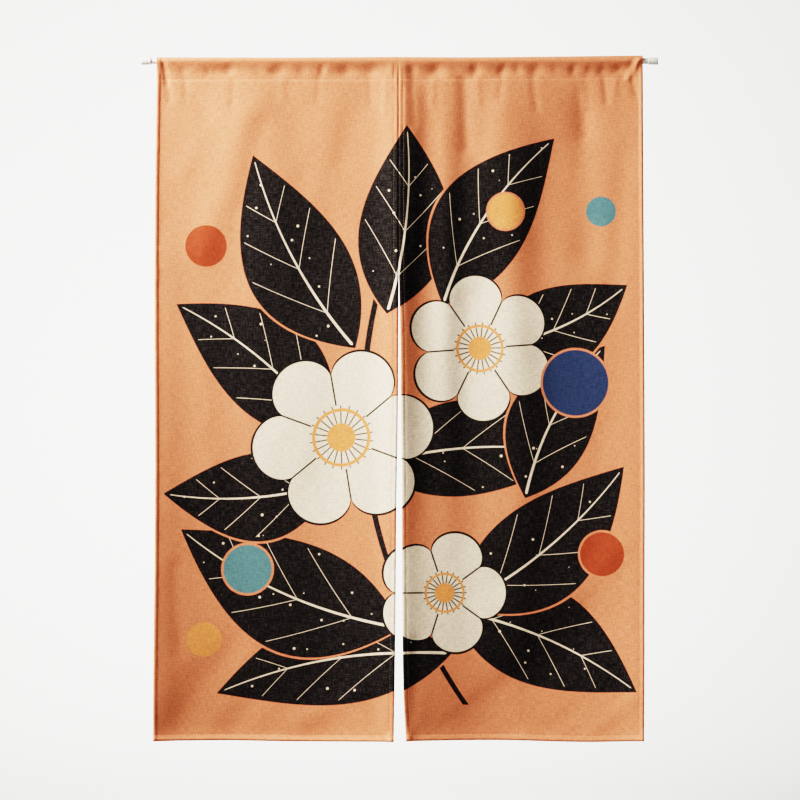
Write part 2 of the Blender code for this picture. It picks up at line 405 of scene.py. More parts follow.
def small_relief(across, below):
    """The small creases and the cloth's own gentle unevenness."""
    creases = sum(ridge(crease, across, below) for crease in CREASES)
    broad = 0.9 * rippled(across, 0.55 * below, 105, 11.0)
    soft = 0.35 * rippled(across, 0.7 * below, 38, 23.0)
    crumpled = 0.07 * rippled(across, below, 14, 31.0)
    return creases + broad + soft + crumpled


def casing_rows(across, sewn_y, sewn_below):
    """The casing above the stitching: up its front, over the rod and down its back, row by row."""
    radius = ROD_RADIUS + CASING_SLACK + SOLID_THICKNESS / 2 + FACE_FORWARD
    heading = np.arctan2(-sewn_below, sewn_y)
    opening = np.arccos(radius / np.hypot(sewn_y, sewn_below))
    front = heading - opening
    back_layer = CLOTH_THICKNESS + TURNED_END_THICKNESS + LAYER_GAP
    back_y = sewn_y + back_layer
    back_heading = np.arctan2(-sewn_below, back_y)
    back = back_heading + np.arccos(radius / np.hypot(back_y, sewn_below)) - math.tau
    lift = read(CASING, "across", "lift", across)

    arc = []
    for i in range(CASING_TOP_ROWS + 1):
        angle = front + (back - front) * i / CASING_TOP_ROWS
        rise = lift * np.maximum(np.sin(angle), 0) ** 2
        arc.append((radius * np.cos(angle), radius * np.sin(angle) + rise))

    rows = []
    for i in range(1, CASING_FRONT_ROWS):
        t = i / CASING_FRONT_ROWS
        pressed = sum(
            dent.inset * bump(across - dent.across - dent.lean * (t - 0.5), dent.spread)
            for dent in DENTS
        )
        uneven = CASING_UNEVENNESS * rippled(across, 33 - 33 * t + 0 * across, 24, 41.0)
        inward = (pressed + CASING_HOLLOW + uneven) * math.sin(math.pi * t) ** 1.5
        front_y = sewn_y + (arc[0][0] - sewn_y) * t
        room = back_y + (arc[-1][0] - back_y) * t - front_y - 3 * CLOTH_THICKNESS
        y = front_y + np.minimum(inward, room)
        rows.append((y, -sewn_below + (arc[0][1] + sewn_below) * t))
    rows += arc
    for i in range(1, CASING_BACK_ROWS + 1):
        t = i / CASING_BACK_ROWS
        uneven = 1 + rippled(across, 60 * t + 0 * across, 22, 47.0)
        slack = CASING_UNEVENNESS * uneven * math.sin(math.pi * t)
        y = arc[-1][0] + (back_y - arc[-1][0]) * t + slack
        rows.append((y, arc[-1][1] + (-sewn_below - arc[-1][1]) * t))
    rows += [(back_y, -sewn_below - step) for step in TURNED_END_STEPS]
    return np.array([y for y, _ in rows]), np.array([z for _, z in rows])


def clear_of_rod(y, z):
    """Keeps the printed face outside the rod and the cloth's own thickness."""
    nearest = ROD_RADIUS + CLOTH_THICKNESS + ROD_GAP
    beside = np.maximum(np.hypot(y, z), 0.01)
    push = np.where((z > -14) & (beside < nearest), nearest / beside, 1)
    return y * push, z * push


def lay_out(side):
    """One panel's printed face, in millimetres, with what each point of the cloth needs to know."""
    across, below, from_inner, from_outer = hanging_rows(side)
    above_hem = read(HEM, "across", "below", across) - below
    forward = folds_forward(across, below) + small_relief(across, below) + FACE_FORWARD
    seed = 3.0 if side == "left" else 7.0
    forward += edge_relief(below, from_inner, INNER_HEM_STAND, INNER_EDGE_TURN, seed)
    forward += edge_relief(below, from_outer, OUTER_HEM_STAND, OUTER_EDGE_TURN, seed + 10)
    forward += bottom_relief(across, above_hem)
    forward += INNER_CORNER_CURL * bump(np.hypot(from_inner - 4, above_hem - 5), CORNER_SPREAD)
    forward += OUTER_CORNER_CURL * bump(np.hypot(from_outer - 4, above_hem - 5), CORNER_SPREAD)
    forward -= CASING_GROOVE * bump(above_hem - above_hem[-1], 1.5)

    y, z = -forward, -below
    casing_y, casing_z = casing_rows(across[-1], y[-1], below[-1])
    casing_across = np.repeat(across[-1:], len(casing_y), axis=0)
    front_row = np.arange(len(casing_y))[:, None] < CASING_FRONT_ROWS + CASING_TOP_ROWS // 3
    top_fade = np.clip((-casing_z + 9) / 8, 0, 1) * front_row
    end_creases = sum(ridge(crease, casing_across, -casing_z) for crease in CREASES)
    from_stitching = np.clip(np.arange(1, len(casing_y) + 1)[:, None] / CASING_FRONT_ROWS, 0, 1)
    already_there = end_creases[:1] * (1 - from_stitching)
    casing_y = casing_y - (end_creases - already_there) * top_fade
    casing_y, casing_z = clear_of_rod(casing_y, casing_z)

    points = np.stack([
        np.concatenate([across, casing_across]),
        np.concatenate([y, casing_y]),
        np.concatenate([z, casing_z]),
    ], axis=-1)
    hanging = len(across)
    climb = np.linalg.norm(np.diff(points[hanging - 1 :], axis=0), axis=-1)
    height = np.concatenate([z, z[-1] + np.cumsum(climb, axis=0)])
    all_inner = np.concatenate([from_inner, np.repeat(from_inner[-1:], len(casing_y), axis=0)])
    all_outer = np.concatenate([from_outer, np.repeat(from_outer[-1:], len(casing_y), axis=0)])
    sign = -1 if side == "left" else 1
    print_place = np.stack([sign * all_inner, height], axis=-1)

    in_side_hem = np.minimum(all_inner, all_outer) < SIDE_HEM
    thickness = np.where(in_side_hem, HEM_THICKNESS, CLOTH_THICKNESS)
    thickness[:hanging][above_hem < BOTTOM_HEM] = HEM_THICKNESS
    turned_rows = len(TURNED_END_STEPS) + round(TURNED_END / CASING_BACK_HEIGHT * CASING_BACK_ROWS)
    thickness[-turned_rows:] = TURNED_END_THICKNESS
    return Sheet(points, print_place, thickness, hanging - 1)


# Colours, as they look on the cloth in daylight
ORANGE_CLOTH = "#DB8566"
ORANGE_REVERSE = "#E2B497"
PRINT_BLACK = "#171415"
PRINT_GREY_THREAD = "#454042"
PRINT_CREAM = "#EEDCC5"
PRINT_COLOURS = {"teal": "#5C8085", "blue": "#334463", "red": "#A14B31", "ochre": "#EB9560"}
SEWING_THREAD = "#F0C9AC"
THREAD_SHOWS = 0.1
ROD_WHITE = "#E9E9E6"
CAP_WHITE = "#EDECE8"
STUDIO_WHITE = "#BDBCB9"


def linear(colour, alpha=1.0):
    """An sRGB hex colour as the linear values that shaders take."""
    values = [int(colour[i : i + 2], 16) / 255 for i in (1, 3, 5)]
    return (*(v / 12.92 if v <= 0.04045 else ((v + 0.055) / 1.055) ** 2.4 for v in values), alpha)


def add(tree, kind, *inputs, out=0, **settings):
    """Adds a node, gives its sockets numbers, colours or links in order, and returns one output."""
    made = tree.nodes.new(kind)
    for name, value in settings.items():
        setattr(made, name, value)
    sockets = [socket for socket in made.inputs if socket.enabled]
    for socket, value in zip(sockets, inputs):
        if isinstance(value, bpy.types.NodeSocket):
            tree.links.new(value, socket)
        elif value is not None:
            socket.default_value = value
    return [socket for socket in made.outputs if socket.enabled][out]


def new_material(name):
    """An empty material, with its node tree and its surface shader."""
    made = bpy.data.materials.new(name)
    made.use_nodes = True
    return made, made.node_tree, made.node_tree.nodes["Principled BSDF"]


# The print, in millimetres: across from the seam, below from the rod's axis, and turns in degrees
# anticlockwise. It is a plain botanical design: a stem, its leaves, three flowers and some berries.
Leaf = namedtuple("Leaf", "across below turn length width bend")
LEAVES = [
    Leaf(245, 1026, -24, 350, 170, 0.12),
    Leaf(-112, 1065, 190, 400, 160, -0.12),
    Leaf(-182, 900, 156, 420, 192, 0.14),
    Leaf(241, 828, 40, 380, 172, -0.12),
    Leaf(-255, 742, 184, 300, 152, 0.12),
    Leaf(-248, 539, 140, 360, 172, -0.12),
    Leaf(130, 695, 3, 380, 164, 0.12),
    Leaf(285, 628, 62, 300, 146, 0.14),
    Leaf(-164, 332, 118, 380, 178, 0.12),
    Leaf(-3, 276, 84, 330, 158, -0.10),
    Leaf(173, 280, 56, 350, 162, 0.14),
    Leaf(273, 445, 24, 270, 142, -0.14),
]
Flower = namedtuple("Flower", "across below radius petals turn")
FLOWERS = [
    Flower(-98, 655, 155, 6, 10),
    Flower(138, 500, 126, 6, 34),
    Flower(74, 925, 106, 5, 0),
]
Berry = namedtuple("Berry", "across below radius colour")
BERRIES = [
    Berry(-258, 884, 42, "teal"),
    Berry(304, 560, 57, "blue"),
    Berry(186, 262, 30, "ochre"),
    Berry(348, 858, 38, "red"),
    Berry(-332, 1006, 30, "ochre"),
    Berry(-335, 322, 36, "red"),
    Berry(352, 262, 26, "teal"),
]
PRINT_EDGE = 0.7
LEAF_OUTLINE = 4.0
LEAF_TAPER = 0.26
LEAF_VEINS = 4.2
VEIN_SLANT = 0.62
VEIN_WIDTH = 0.8
VEINS_END = 0.62
SPECK_SPACING = 58
SPECK_RADIUS = 1.7
STEM_ACROSS = -60
STEM_BEND = 0.00062
STEM_MIDDLE_BELOW = 600
STEM_FROM_TO = (200, 1120)
STEM_HALF_WIDTH = 5.0
BARE_CLOTH_ACROSS = 2000


def inked(tree, distance, softness):
    """1 inside an outline and 0 outside, from the distance outside it, with a soft inked edge."""
    return add(tree, "ShaderNodeMapRange", distance, -softness, softness, 1.0, 0.0)


def print_over(tree, under, mask, colour):
    """Lays one colour of ink over the cloth where the mask is 1."""
    return add(tree, "ShaderNodeMix", mask, under, linear(colour), data_type="RGBA")


def own_place(tree, place, motif, size, turn):
    """Places on a motif, from its own middle, in its own size and turned with it."""
    return add(
        tree, "ShaderNodeMapping", place, (motif.across, -motif.below, 0), (0, 0, math.radians(turn)),
        (size, size, 1), vector_type="TEXTURE",
    )


def print_stem(tree, place, under):
    """The stem: one long, gently bent stroke."""
    x = add(tree, "ShaderNodeSeparateXYZ", place)
    y = x.node.outputs["Y"]
    from_middle = add(tree, "ShaderNodeMath", y, STEM_MIDDLE_BELOW, operation="ADD")
    bowed = add(tree, "ShaderNodeMath", from_middle, from_middle, operation="MULTIPLY")
    middle = add(tree, "ShaderNodeMath", bowed, STEM_BEND, STEM_ACROSS, operation="MULTIPLY_ADD")
    aside = add(tree, "ShaderNodeMath", x, middle, operation="SUBTRACT")
    aside = add(tree, "ShaderNodeMath", aside, operation="ABSOLUTE")
    outside = add(tree, "ShaderNodeMath", aside, STEM_HALF_WIDTH, operation="SUBTRACT")
    along = add(tree, "ShaderNodeMath", y, sum(STEM_FROM_TO) / 2, operation="ADD")
    along = add(tree, "ShaderNodeMath", along, operation="ABSOLUTE")
    half = (STEM_FROM_TO[1] - STEM_FROM_TO[0]) / 2
    beyond = add(tree, "ShaderNodeMath", along, half, operation="SUBTRACT")
    outside = add(tree, "ShaderNodeMath", outside, beyond, operation="MAXIMUM")
    return print_over(tree, under, inked(tree, outside, PRINT_EDGE), PRINT_BLACK)


def specks(tree, place):
    """Small cream specks of uneven size, strewn over the black."""
    away = add(tree, "ShaderNodeTexVoronoi", place, 1 / SPECK_SPACING, 0.0, 0.5, 2.0, 1.0,
               voronoi_dimensions="2D", feature="F1", distance="EUCLIDEAN")
    size = add(tree, "ShaderNodeSeparateXYZ", away.node.outputs["Color"])
    size = add(tree, "ShaderNodeMath", size, SPECK_RADIUS, 0.4 * SPECK_RADIUS, operation="MULTIPLY_ADD")
    outside = add(tree, "ShaderNodeMath", away, SPECK_SPACING, operation="MULTIPLY")
    outside = add(tree, "ShaderNodeMath", outside, size, operation="SUBTRACT")
    return inked(tree, outside, PRINT_EDGE)


def print_leaf(tree, place, under, leaf, strewn):
    """A pointed black leaf on a thin line of bare cloth, with its midrib, side veins and specks."""
    half = leaf.length / 2
    slim = leaf.width / leaf.length
    x = add(tree, "ShaderNodeSeparateXYZ", own_place(tree, place, leaf, half, leaf.turn))
    y = x.node.outputs["Y"]
    hollow = add(tree, "ShaderNodeMath", x, x, -1.0, operation="MULTIPLY_ADD")
    y = add(tree, "ShaderNodeMath", hollow, leaf.bend, y, operation="MULTIPLY_ADD")
    aside = add(tree, "ShaderNodeMath", y, operation="ABSOLUTE")
    taper = add(tree, "ShaderNodeMath", x, -LEAF_TAPER * slim, slim, operation="MULTIPLY_ADD")
    taper = add(tree, "ShaderNodeMath", taper, 0.1 * slim, operation="MAXIMUM")
    outside = add(tree, "ShaderNodeMath", taper, hollow, aside, operation="MULTIPLY_ADD")

    edge = PRINT_EDGE / half
    gap = add(tree, "ShaderNodeMath", outside, LEAF_OUTLINE / half, operation="SUBTRACT")
    colour = print_over(tree, under, inked(tree, gap, edge), ORANGE_CLOTH)
    colour = print_over(tree, colour, inked(tree, outside, edge), PRINT_BLACK)

    veins = add(tree, "ShaderNodeMath", aside, -VEIN_SLANT / slim, x, operation="MULTIPLY_ADD")
    veins = add(tree, "ShaderNodeMath", veins, LEAF_VEINS / 2, 50.25, operation="MULTIPLY_ADD")
    veins = add(tree, "ShaderNodeMath", veins, 0.5, operation="PINGPONG")
    vein_width = VEIN_WIDTH * LEAF_VEINS / leaf.length
    veins = add(tree, "ShaderNodeMath", veins, vein_width, operation="SUBTRACT")
    veins = inked(tree, veins, edge * LEAF_VEINS / 2)
    before_tip = add(tree, "ShaderNodeMath", x, VEINS_END, operation="SUBTRACT")
    veins = add(tree, "ShaderNodeMath", veins, inked(tree, before_tip, edge), operation="MULTIPLY")
    rib = add(tree, "ShaderNodeMath", x, 0.9 / half, -1.6 / half, operation="MULTIPLY_ADD")
    rib = add(tree, "ShaderNodeMath", aside, rib, operation="ADD")
    lines = add(tree, "ShaderNodeMath", veins, inked(tree, rib, edge), operation="MAXIMUM")
    lines = add(tree, "ShaderNodeMath", lines, strewn, operation="MAXIMUM")
    inner = add(tree, "ShaderNodeMath", outside, 8.0 / half, operation="ADD")
    lines = add(tree, "ShaderNodeMath", lines, inked(tree, inner, edge), operation="MULTIPLY")
    return print_over(tree, colour, lines, PRINT_CREAM)


def print_flower(tree, place, under, flower):
    """A cream flower in a black line, with petals, stamens and an ochre heart."""
    mapped = own_place(tree, place, flower, flower.radius, flower.turn)
    x = add(tree, "ShaderNodeSeparateXYZ", mapped)
    y = x.node.outputs["Y"]
    away = add(tree, "ShaderNodeVectorMath", mapped, operation="LENGTH")
    turn = add(tree, "ShaderNodeMath", y, x, operation="ARCTAN2")
    wave = add(tree, "ShaderNodeMath", turn, flower.petals / 2, operation="MULTIPLY")
    wave = add(tree, "ShaderNodeMath", wave, operation="COSINE")
    wave = add(tree, "ShaderNodeMath", wave, operation="ABSOLUTE")
    lobes = add(tree, "ShaderNodeMath", wave, 0.55, operation="POWER")
    lobes = add(tree, "ShaderNodeMath", lobes, -0.34, -0.66, operation="MULTIPLY_ADD")
    outside = add(tree, "ShaderNodeMath", away, lobes, operation="ADD")

    edge = PRINT_EDGE / flower.radius
    line = add(tree, "ShaderNodeMath", outside, LEAF_OUTLINE / flower.radius, operation="SUBTRACT")
    colour = print_over(tree, under, inked(tree, line, edge), PRINT_BLACK)
    inside = inked(tree, outside, edge)
    colour = print_over(tree, colour, inside, PRINT_CREAM)

    cut = add(tree, "ShaderNodeMath", wave, away, operation="MULTIPLY")
    cut = add(tree, "ShaderNodeMath", cut, 1.4 * flower.petals / 2 / flower.radius, operation="SUBTRACT")
    cut = inked(tree, cut, edge * flower.petals / 2)
    spokes = add(tree, "ShaderNodeMath", turn, 11.0, operation="MULTIPLY")
    spokes = add(tree, "ShaderNodeMath", spokes, operation="SINE")
    spokes = add(tree, "ShaderNodeMath", spokes, operation="ABSOLUTE")
    spokes = add(tree, "ShaderNodeMath", spokes, away, operation="MULTIPLY")
    spokes = add(tree, "ShaderNodeMath", spokes, 11.0 / flower.radius, operation="SUBTRACT")
    spokes = inked(tree, spokes, edge * 11)
    heart_side = inked(tree, add(tree, "ShaderNodeMath", away, 0.36, operation="SUBTRACT"), edge)
    lines = add(tree, "ShaderNodeMix", heart_side, cut, spokes, data_type="FLOAT")
    lines = add(tree, "ShaderNodeMath", lines, inside, operation="MULTIPLY")
    colour = print_over(tree, colour, lines, PRINT_BLACK)
    ring = add(tree, "ShaderNodeMath", away, 0.31, 0.018, operation="COMPARE")
    heart = inked(tree, add(tree, "ShaderNodeMath", away, 0.16, operation="SUBTRACT"), edge)
    ochre = add(tree, "ShaderNodeMath", ring, heart, operation="MAXIMUM")
    return print_over(tree, colour, ochre, PRINT_COLOURS["ochre"])


def print_berry(tree, place, under, berry):
    """A round berry on a thin line of bare cloth."""
    away = add(tree, "ShaderNodeVectorMath", own_place(tree, place, berry, berry.radius, 0),
               operation="LENGTH")
    edge = PRINT_EDGE / berry.radius
    gap = add(tree, "ShaderNodeMath", away, 1 + LEAF_OUTLINE / berry.radius, operation="SUBTRACT")
    colour = print_over(tree, under, inked(tree, gap, edge), ORANGE_CLOTH)
    outside = add(tree, "ShaderNodeMath", away, 1.0, operation="SUBTRACT")
    return print_over(tree, colour, inked(tree, outside, edge), PRINT_COLOURS[berry.colour])


def printed_colour(tree, place):
    """The whole print: dyed ground, stem, leaves, flowers and berries, in that order."""
    ground = add(tree, "ShaderNodeRGB")
    ground.default_value = linear(ORANGE_CLOTH)
    colour = print_stem(tree, place, ground)
    strewn = specks(tree, place)
    for leaf in LEAVES:
        colour = print_leaf(tree, place, colour, leaf, strewn)
    for flower in FLOWERS:
        colour = print_flower(tree, place, colour, flower)
    for berry in BERRIES:
        colour = print_berry(tree, place, colour, berry)
    return colour


# The weave. Its real threads are about 0.6 mm apart, too fine to show, so the uneven yarns are drawn
# three threads wide.
YARN_ACROSS = 1.9
YARN_ALONG = 11
SLUB_ACROSS = 3.0
SLUB_ALONG = 40


def yarns(tree, place, across, along, seed):
    """Uneven yarns, 0 to 1: warp and weft noise, each drawn out along its own thread."""
    threads = []
    for stretch in ((1 / across, 1 / along, 1), (1 / along, 1 / across, 1)):
        run = add(tree, "ShaderNodeMapping", place, (seed, seed, seed), (0, 0, 0), stretch)
        threads.append(add(tree, "ShaderNodeTexNoise", run, 1.0, 2.0, 0.5, normalize=True))
    return threads


def cotton_linen(name, reverse):
    """Plain-woven cotton-linen, dyed and printed: matt, with pale slubs and fuzz that catches light."""
    made, tree, surface = new_material(name)
    uv = add(tree, "ShaderNodeUVMap", uv_map="Cloth")
    place = add(tree, "ShaderNodeVectorMath", uv, (1000, 1000, 0), operation="MULTIPLY")
    colour = printed_colour(tree, place)

    warp, weft = yarns(tree, place, YARN_ACROSS, YARN_ALONG, 3.0)
    thread = add(tree, "ShaderNodeMath", warp, weft, operation="ADD")
    raised = add(tree, "ShaderNodeMath", warp, weft, operation="MAXIMUM")
    slub_warp, slub_weft = yarns(tree, place, SLUB_ACROSS, SLUB_ALONG, 9.0)
    slub = add(tree, "ShaderNodeMath", slub_warp, slub_weft, operation="MAXIMUM")
    slub = add(tree, "ShaderNodeMapRange", slub, 0.62, 0.80, 0.0, 1.0)
    # Ink sits less deep on the thick threads, so the black shows grey ones
    sparse = add(tree, "ShaderNodeMapRange", raised, 0.46, 0.80, 0.0, 0.75)
    sparse = add(tree, "ShaderNodeMath", slub, 0.35, sparse, operation="MULTIPLY_ADD", use_clamp=True)
    paler = add(tree, "ShaderNodeMix", sparse, colour, linear(PRINT_GREY_THREAD), data_type="RGBA",
                blend_type="LIGHTEN")
    shade = add(tree, "ShaderNodeMapRange", thread, 0.7, 1.3, 0.78, 1.18)
    colour = add(tree, "ShaderNodeVectorMath", paler, shade, operation="MULTIPLY")
    if reverse:
        colour = add(tree, "ShaderNodeMix", 0.55, colour, linear(ORANGE_REVERSE), data_type="RGBA")
    tree.links.new(colour, surface.inputs["Base Color"])
    height = add(tree, "ShaderNodeMath", slub, 0.5, thread, operation="MULTIPLY_ADD")
    relief = add(tree, "ShaderNodeBump", 0.5, 0.0003, height)
    tree.links.new(relief, surface.inputs["Normal"])
    surface.inputs["Roughness"].default_value = 0.92
    surface.inputs["Sheen Weight"].default_value = 0.04
    surface.inputs["Sheen Roughness"].default_value = 0.5
    surface.inputs["Specular IOR Level"].default_value = 0.15
    return made


def sewing_cotton_with_painted_highlight():
    """Twisted sewing cotton: sewn before the print, so it carries the ink, a little paler from its own
    colour, and brightened further by a painted highlight where it stands proud.
    """
    made, tree, surface = new_material("spun sewing cotton with painted highlight")
    uv = add(tree, "ShaderNodeUVMap", uv_map="Cloth")
    place = add(tree, "ShaderNodeVectorMath", uv, (1000, 1000, 0), operation="MULTIPLY")
    printed = printed_colour(tree, place)
    paler = add(tree, "ShaderNodeMix", THREAD_SHOWS, printed, linear(SEWING_THREAD), data_type="RGBA")
    where = add(tree, "ShaderNodeTexCoord", out=3)
    twist = add(tree, "ShaderNodeTexNoise", where, 2400.0, 2.0, 0.5)
    # The thread's colour is multiplied by 1.25 to 1.5, varying with its twist: a painted highlight where
    # the stitches stand proud of the cloth.
    shade = add(tree, "ShaderNodeMapRange", twist, 0.3, 0.7, 1.25, 1.5)
    colour = add(tree, "ShaderNodeVectorMath", paler, shade, operation="MULTIPLY")
    tree.links.new(colour, surface.inputs["Base Color"])
    surface.inputs["Roughness"].default_value = 0.7
    surface.inputs["Sheen Weight"].default_value = 0.2
    return made


def enamelled_steel():
    """Baked white enamel on drawn steel tube: smooth, half glossy, with faint draw lines."""
    made, tree, surface = new_material("white enamelled steel")
    where = add(tree, "ShaderNodeTexCoord", out=3)
    drawn = add(tree, "ShaderNodeMapping", where, (0, 0, 0), (0, 0, 0), (4, 900, 900))
    lines = add(tree, "ShaderNodeTexNoise", drawn, 1.0, 3.0, 0.55)
    shade = add(tree, "ShaderNodeMapRange", lines, 0.3, 0.7, 0.965, 1.0)
    colour = add(tree, "ShaderNodeVectorMath", linear(ROD_WHITE)[:3], shade, operation="MULTIPLY")
    tree.links.new(colour, surface.inputs["Base Color"])
    rough = add(tree, "ShaderNodeMapRange", lines, 0.3, 0.7, 0.30, 0.42)
    tree.links.new(rough, surface.inputs["Roughness"])
    relief = add(tree, "ShaderNodeBump", 0.2, 0.00005, lines)
    tree.links.new(relief, surface.inputs["Normal"])
    return made


def moulded_rubber():
    """Moulded white rubber: matt, with a fine spark-eroded grain and slightly yellowed."""
    made, tree, surface = new_material("moulded white rubber")
    where = add(tree, "ShaderNodeTexCoord", out=3)
    grain = add(tree, "ShaderNodeTexNoise", where, 3200.0, 2.0, 0.5)
    stain = add(tree, "ShaderNodeTexNoise", where, 160.0, 3.0, 0.6)
    shade = add(tree, "ShaderNodeMapRange", stain, 0.35, 0.75, 1.0, 0.93)
    colour = add(tree, "ShaderNodeVectorMath", linear(CAP_WHITE)[:3], shade, operation="MULTIPLY")
    tree.links.new(colour, surface.inputs["Base Color"])
    surface.inputs["Roughness"].default_value = 0.62
    relief = add(tree, "ShaderNodeBump", 0.35, 0.00008, grain)
    tree.links.new(relief, surface.inputs["Normal"])
    return made


def studio_paper():
    """Seamless white studio paper, quite plain."""
    made, _, surface = new_material("seamless white paper")
    surface.inputs["Base Color"].default_value = linear(STUDIO_WHITE)
    surface.inputs["Roughness"].default_value = 0.9
    surface.inputs["Specular IOR Level"].default_value = 0.1
    return made


def link(name, data, *materials):
    """A new object in the scene with its materials."""
    made = bpy.data.objects.new(name, data)
    for finish in materials:
        data.materials.append(finish)
    bpy.context.scene.collection.objects.link(made)
    return made


def grid_faces(rows, columns):
    """The four corners of each square of a grid of points, numbered row by row."""
    corner = np.arange(rows * columns).reshape(rows, columns)
    around = (corner[:-1, :-1], corner[:-1, 1:], corner[1:, 1:], corner[1:, :-1])
    return np.stack(around, axis=-1).reshape(-1, 4)


def mesh_from(name, points, faces):
    """A smooth-shaded mesh from arrays of points, in millimetres, and faces."""
    mesh = bpy.data.meshes.new(name)
    mesh.from_pydata((points.reshape(-1, 3) * MM).tolist(), [], faces.tolist())
    mesh.shade_smooth()
    return mesh


def add_panel(name, sheet, side, finish, reverse_finish):
    """One panel of cloth: the printed face, thickened inwards, three layers thick in its hems."""
    rows, columns = sheet.points.shape[:2]
    faces = grid_faces(rows, columns)
    if side == "left":
        faces = faces[:, ::-1]
    mesh = mesh_from(name, sheet.points, faces)
    places = sheet.print_place.reshape(-1, 2) * MM
    corners = np.empty(len(mesh.loops), np.int32)
    mesh.loops.foreach_get("vertex_index", corners)
    mesh.uv_layers.new(name="Cloth").data.foreach_set("uv", places[corners].ravel())

    panel = link(name, mesh, finish, reverse_finish)
    layers = panel.vertex_groups.new(name="layers")
    shares = (sheet.thickness / HEM_THICKNESS).ravel()
    for share in np.unique(shares):
        layers.add(np.flatnonzero(shares == share).tolist(), float(share), "REPLACE")
    body = panel.modifiers.new("cloth thickness", "SOLIDIFY")
    body.thickness = HEM_THICKNESS * MM
    body.offset = -1
    body.vertex_group = "layers"
    body.material_offset = 1
    body.use_quality_normals = True
    evaluated = panel.evaluated_get(bpy.context.evaluated_depsgraph_get())
    thick = bpy.data.meshes.new_from_object(evaluated)
    panel.modifiers.remove(body)
    panel.data = thick
    # The hems are turned to the back, so the cloth's dyed face shows there, bare of the print
    in_hem = (np.minimum(sheet.thickness[:-1, :-1], sheet.thickness[1:, 1:]) == HEM_THICKNESS).ravel()
    turned_over = len(faces) + np.flatnonzero(in_hem)
    finishes = np.empty(len(thick.polygons), np.int32)
    thick.polygons.foreach_get("material_index", finishes)
    finishes[turned_over] = 0
    thick.polygons.foreach_set("material_index", finishes)
    all_places = np.empty(2 * len(thick.loops), np.float32)
    thick.uv_layers["Cloth"].data.foreach_get("uv", all_places)
    all_places.reshape(-1, 4, 2)[turned_over, :, 0] += BARE_CLOTH_ACROSS * MM
    thick.uv_layers["Cloth"].data.foreach_set("uv", all_places)
    thick.set_sharp_from_angle(angle=math.radians(60))
    return panel


def build_panel(side, finish, reverse_finish):
    """One panel of cloth, as the hung sheet that it was cut as."""
    sheet = lay_out(side)
    name = side + "_cloth"
    panel = add_panel(name, sheet, side, finish, reverse_finish)
    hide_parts(side + "_panel")
    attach(panel, "root")
    return sheet


# Sewing: a lockstitch in cotton thread, seen on both faces of every hem and along the casing. Its real
# stitches are about 3.5 mm apart, and are drawn farther apart and in thicker thread so that they show.
STITCH_PITCH = 5.0
STITCH_LENGTH = 3.6
THREAD_THICKNESS = 0.75
Ring = namedtuple("Ring", "along plumpness rise")
STITCH_RINGS = [
    Ring(0, 0.3, -0.35),
    Ring(0.16, 0.85, 0.12),
    Ring(0.5, 1.0, 0.4),
    Ring(0.84, 0.85, 0.12),
    Ring(1, 0.3, -0.35),
]
STITCH_SIDES = 6

# The seam's own stitches: slanting threads a few millimetres apart, from one fold edge to the other
SEAM_STITCHES_FROM = 36
SEAM_STITCH_PITCH = 4.0
SEAM_STITCH_COLUMN = EDGE_STEPS.index(1.4)
SEAM_STITCH_STAND = 0.3


def along_line(line, outward, places_on_print, seed):
    """Each stitch along a line of points: its start, end, outward direction and place on the print."""
    reach = np.concatenate([[0], np.cumsum(np.linalg.norm(np.diff(line, axis=0), axis=-1))])
    starts = np.arange(1.0, reach[-1] - STITCH_LENGTH - 1.0, STITCH_PITCH)
    wander = np.random.default_rng(seed).normal(0, 0.12, (2, len(starts)))
    ends = starts + STITCH_LENGTH + wander[0]
    starts = starts + wander[1]

    def at(places, values):
        return np.stack([np.interp(places, reach, column) for column in values.T], axis=-1)

    middle = (starts + ends) / 2
    return at(starts, line), at(ends, line), at(middle, outward), at(middle, places_on_print)


def stitch_mesh(name, runs):
    """All the stitches of one panel as one mesh of small closed, rounded strands."""
    starts = np.concatenate([run[0] for run in runs])
    ends = np.concatenate([run[1] for run in runs])
    outward = np.concatenate([run[2] for run in runs])
    places = np.concatenate([run[3] for run in runs]) * MM
    outward = outward / np.linalg.norm(outward, axis=-1, keepdims=True)
    run = ends - starts
    sideways = np.cross(run, outward)
    sideways = sideways / np.linalg.norm(sideways, axis=-1, keepdims=True)
    radius = THREAD_THICKNESS / 2
    rings = []
    for along, plumpness, rise in STITCH_RINGS:
        middle = starts + run * along + outward * rise * radius
        for i in range(STITCH_SIDES):
            turn = math.tau * i / STITCH_SIDES
            spoke = sideways * math.cos(turn) + outward * math.sin(turn) * 0.8
            rings.append(middle + spoke * radius * plumpness)
    points = np.stack(rings, axis=1)
    faces = []
    last = (len(STITCH_RINGS) - 1) * STITCH_SIDES
    for ring in range(0, last, STITCH_SIDES):
        for i in range(STITCH_SIDES):
            j = (i + 1) % STITCH_SIDES
            faces.append((ring + i, ring + STITCH_SIDES + i, ring + STITCH_SIDES + j, ring + j))
    faces = np.array(faces)
    caps = np.array([range(STITCH_SIDES), range(last + STITCH_SIDES - 1, last - 1, -1)])
    first = np.arange(len(points))[:, None, None] * points.shape[1]
    mesh = bpy.data.meshes.new(name)
    side_faces = (faces + first).reshape(-1, 4).tolist()
    end_faces = (caps + first).reshape(-1, STITCH_SIDES).tolist()
    mesh.from_pydata((points.reshape(-1, 3) * MM).tolist(), [], side_faces + end_faces)
    corners = np.concatenate([np.repeat(places, part.size, axis=0) for part in (faces, caps)])
    mesh.uv_layers.new(name="Cloth").data.foreach_set("uv", corners.ravel())
    mesh.shade_smooth()
    return mesh


def face_normals(sheet, side):
    """The printed face's outward direction at every point of the sheet."""
    up = np.gradient(sheet.points, axis=0)
    over = np.gradient(sheet.points, axis=1)
    outward = np.cross(over, up) if side == "right" else np.cross(up, over)
    return outward / np.linalg.norm(outward, axis=-1, keepdims=True)


